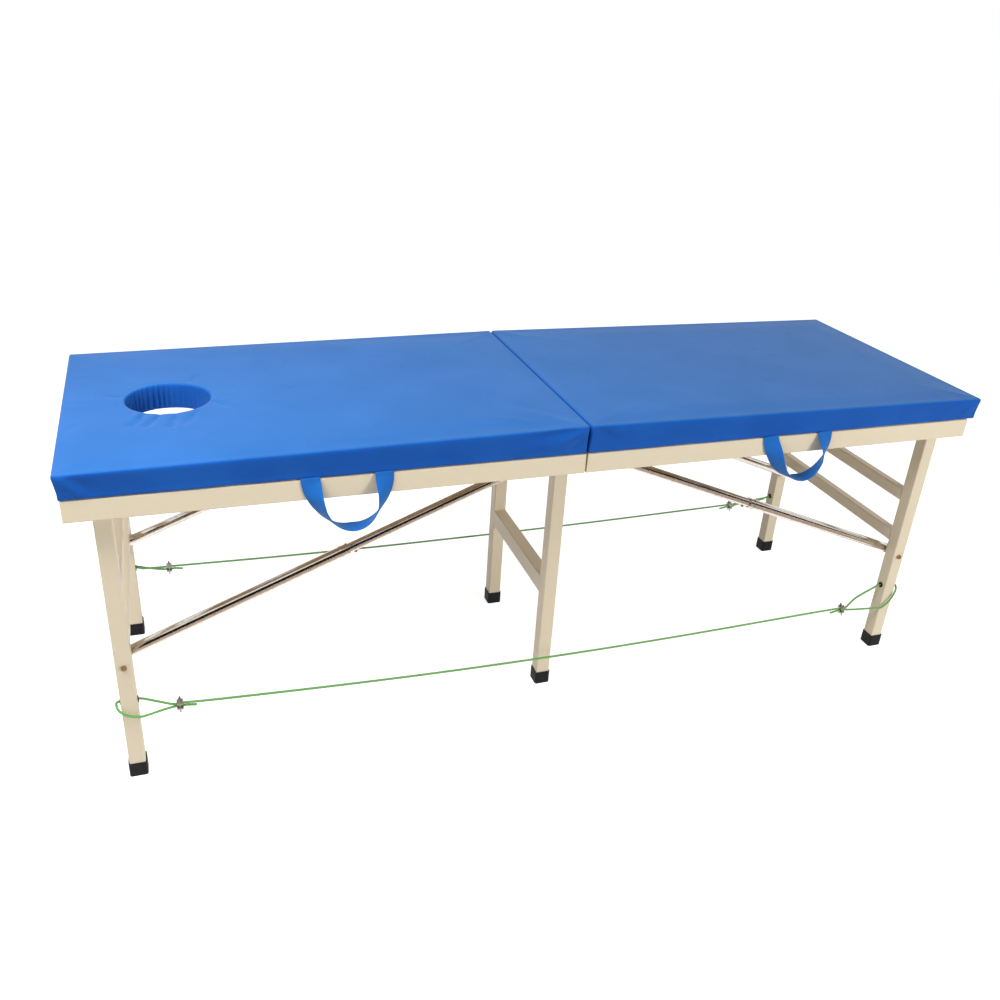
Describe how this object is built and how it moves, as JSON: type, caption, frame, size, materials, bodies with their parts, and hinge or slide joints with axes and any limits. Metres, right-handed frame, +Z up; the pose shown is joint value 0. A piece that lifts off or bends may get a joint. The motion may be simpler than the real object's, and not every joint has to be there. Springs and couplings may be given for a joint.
{
  "type": "folding massage table",
  "caption": "Portable massage table in two hinged padded halves with a face hole, on a folding steel frame with telescopic struts, carrying straps and tie ropes.",
  "frame": {"origin": "On the floor under the middle of the padded top, at the seam of its two halves", "axes": "+X runs along the table from the face hole's end to the other, +Y from the side with the carrying straps to the far side, and +Z up"},
  "size_m": [1.85, 0.6, 0.67],
  "materials": {
    "cover_cloth": "soft smooth vinyl, satin sheen",
    "lining_cloth": "gathered vinyl",
    "foam": "open-cell foam",
    "board": "bare plywood",
    "cream_paint": "cream powder coat",
    "black_rubber": "matt black rubber",
    "bright_steel": "bright plated steel",
    "bolt_steel": "yellow-zinc plated steel",
    "strap_cloth": "sewn vinyl strap",
    "rope": "twisted rope in clear green plastic",
    "plug_plastic": "black plastic"
  },
  "bodies": {
    "left_half": {"left_cover": "cover_cloth", "left_foam": "foam", "left_board": "board", "left_near_rail": "cream_paint", "left_far_rail": "cream_paint", "left_end_bar": "cream_paint", "left_seam_bar": "cream_paint", "left_rail_plugs": "plug_plastic", "left_frame_screws": "bolt_steel", "left_pivot_bolts": "bolt_steel", "face_hole_lining": "lining_cloth", "seam_bolts": "bolt_steel", "near_rope": "rope", "far_rope": "rope", "rope_clips": "bright_steel"},
    "right_half": {"right_cover": "cover_cloth", "right_foam": "foam", "right_board": "board", "right_near_rail": "cream_paint", "right_far_rail": "cream_paint", "right_end_bar": "cream_paint", "right_seam_bar": "cream_paint", "right_rail_plugs": "plug_plastic", "right_frame_screws": "bolt_steel", "right_pivot_bolts": "bolt_steel"},
    "centre_legs": {"centre_near_leg": "cream_paint", "centre_far_leg": "cream_paint", "centre_crossbar": "cream_paint", "centre_leg_caps": "black_rubber"},
    "left_legs": {"left_near_leg": "cream_paint", "left_far_leg": "cream_paint", "left_upper_crossbar": "cream_paint", "left_lower_crossbar": "cream_paint", "left_leg_caps": "black_rubber", "left_strut_bolts": "bolt_steel", "left_rope_grommets": "black_rubber"},
    "left_strap": {"left_handle": "strap_cloth"},
    "left_near_outer_tube": {"left_near_strut_outer": "bright_steel"},
    "left_near_inner_tube": {"left_near_strut_inner": "bright_steel"},
    "left_near_button": {"left_near_snap_button": "bright_steel"},
    "left_far_outer_tube": {"left_far_strut_outer": "bright_steel"},
    "left_far_inner_tube": {"left_far_strut_inner": "bright_steel"},
    "left_far_button": {"left_far_snap_button": "bright_steel"},
    "right_legs": {"right_near_leg": "cream_paint", "right_far_leg": "cream_paint", "right_upper_crossbar": "cream_paint", "right_lower_crossbar": "cream_paint", "right_leg_caps": "black_rubber", "right_strut_bolts": "bolt_steel", "right_rope_grommets": "black_rubber"},
    "right_strap": {"right_handle": "strap_cloth"},
    "right_near_outer_tube": {"right_near_strut_outer": "bright_steel"},
    "right_near_inner_tube": {"right_near_strut_inner": "bright_steel"},
    "right_near_button": {"right_near_snap_button": "bright_steel"},
    "right_far_outer_tube": {"right_far_strut_outer": "bright_steel"},
    "right_far_inner_tube": {"right_far_strut_inner": "bright_steel"},
    "right_far_button": {"right_far_snap_button": "bright_steel"}
  },
  "joints": [
    {"name": "left_fold", "type": "hinge", "parent": "left_half", "child": "centre_legs", "pos_m": [0, 0, 0.575], "axis": [0, 1, 0], "range_deg": [0, 90], "deforming": ["near_rope", "far_rope", "rope_clips"]},
    {"name": "right_fold", "type": "hinge", "parent": "centre_legs", "child": "right_half", "pos_m": [0, 0, 0.575], "axis": [0, 1, 0], "range_deg": [0, 90], "deforming": ["near_rope", "far_rope", "rope_clips"]},
    {"name": "left_legs_fold", "type": "hinge", "parent": "left_half", "child": "left_legs", "pos_m": [-0.862, 0, 0.599], "axis": [0, -1, 0], "range_deg": [0, 90], "deforming": ["near_rope", "far_rope", "rope_clips", "left_near_snap_button", "left_far_snap_button"]},
    {"name": "left_handle_swing", "type": "hinge", "parent": "left_half", "child": "left_strap", "pos_m": [-0.456, -0.2958, 0.6177], "axis": [-1, 0, 0], "range_deg": [0, 90]},
    {"name": "left_near_strut_swing", "type": "hinge", "parent": "left_legs", "child": "left_near_outer_tube", "pos_m": [-0.862, -0.2115, 0.255], "axis": [0, 1, 0], "range_deg": [0, 113.3]},
    {"name": "left_near_strut_slide", "type": "slide", "parent": "left_near_outer_tube", "child": "left_near_inner_tube", "axis": [-0.9275, 0, -0.3737], "range_m": [0, 0.4086]},
    {"name": "left_near_button_press", "type": "slide", "parent": "left_near_inner_tube", "child": "left_near_button", "axis": [-0.3737, 0, 0.9275], "range_m": [0, 0.0035], "stiffness_N_per_m": 800, "deforming": ["left_near_snap_button"]},
    {"name": "left_far_strut_swing", "type": "hinge", "parent": "left_legs", "child": "left_far_outer_tube", "pos_m": [-0.862, 0.2115, 0.255], "axis": [0, 1, 0], "range_deg": [0, 113.3]},
    {"name": "left_far_strut_slide", "type": "slide", "parent": "left_far_outer_tube", "child": "left_far_inner_tube", "axis": [-0.9275, 0, -0.3737], "range_m": [0, 0.4086]},
    {"name": "left_far_button_press", "type": "slide", "parent": "left_far_inner_tube", "child": "left_far_button", "axis": [-0.3737, 0, 0.9275], "range_m": [0, 0.0035], "stiffness_N_per_m": 800, "deforming": ["left_far_snap_button"]},
    {"name": "right_legs_fold", "type": "hinge", "parent": "right_half", "child": "right_legs", "pos_m": [0.862, 0, 0.599], "axis": [0, 1, 0], "range_deg": [0, 90], "deforming": ["near_rope", "far_rope", "rope_clips", "right_near_snap_button", "right_far_snap_button"]},
    {"name": "right_handle_swing", "type": "hinge", "parent": "right_half", "child": "right_strap", "pos_m": [0.469, -0.2958, 0.6177], "axis": [-1, 0, 0], "range_deg": [0, 90]},
    {"name": "right_near_strut_swing", "type": "hinge", "parent": "right_legs", "child": "right_near_outer_tube", "pos_m": [0.862, -0.2115, 0.255], "axis": [0, -1, 0], "range_deg": [0, 113.3]},
    {"name": "right_near_strut_slide", "type": "slide", "parent": "right_near_outer_tube", "child": "right_near_inner_tube", "axis": [0.9275, 0, -0.3737], "range_m": [0, 0.4086]},
    {"name": "right_near_button_press", "type": "slide", "parent": "right_near_inner_tube", "child": "right_near_button", "axis": [0.3737, 0, 0.9275], "range_m": [0, 0.0035], "stiffness_N_per_m": 800, "deforming": ["right_near_snap_button"]},
    {"name": "right_far_strut_swing", "type": "hinge", "parent": "right_legs", "child": "right_far_outer_tube", "pos_m": [0.862, 0.2115, 0.255], "axis": [0, -1, 0], "range_deg": [0, 113.3]},
    {"name": "right_far_strut_slide", "type": "slide", "parent": "right_far_outer_tube", "child": "right_far_inner_tube", "axis": [0.9275, 0, -0.3737], "range_m": [0, 0.4086]},
    {"name": "right_far_button_press", "type": "slide", "parent": "right_far_inner_tube", "child": "right_far_button", "axis": [0.3737, 0, 0.9275], "range_m": [0, 0.0035], "stiffness_N_per_m": 800, "deforming": ["right_far_snap_button"]}
  ],
  "couplings": [
    {"joint": "left_near_strut_swing", "follows": "left_legs_fold", "ratio": 1.2584},
    {"joint": "left_near_strut_slide", "follows": "left_legs_fold", "m_per_rad": 0.26001},
    {"joint": "left_far_strut_swing", "follows": "left_legs_fold", "ratio": 1.2584},
    {"joint": "left_far_strut_slide", "follows": "left_legs_fold", "m_per_rad": 0.26001},
    {"joint": "right_near_strut_swing", "follows": "right_legs_fold", "ratio": 1.2584},
    {"joint": "right_near_strut_slide", "follows": "right_legs_fold", "m_per_rad": 0.26001},
    {"joint": "right_far_strut_swing", "follows": "right_legs_fold", "ratio": 1.2584},
    {"joint": "right_far_strut_slide", "follows": "right_legs_fold", "m_per_rad": 0.26001}
  ]
}
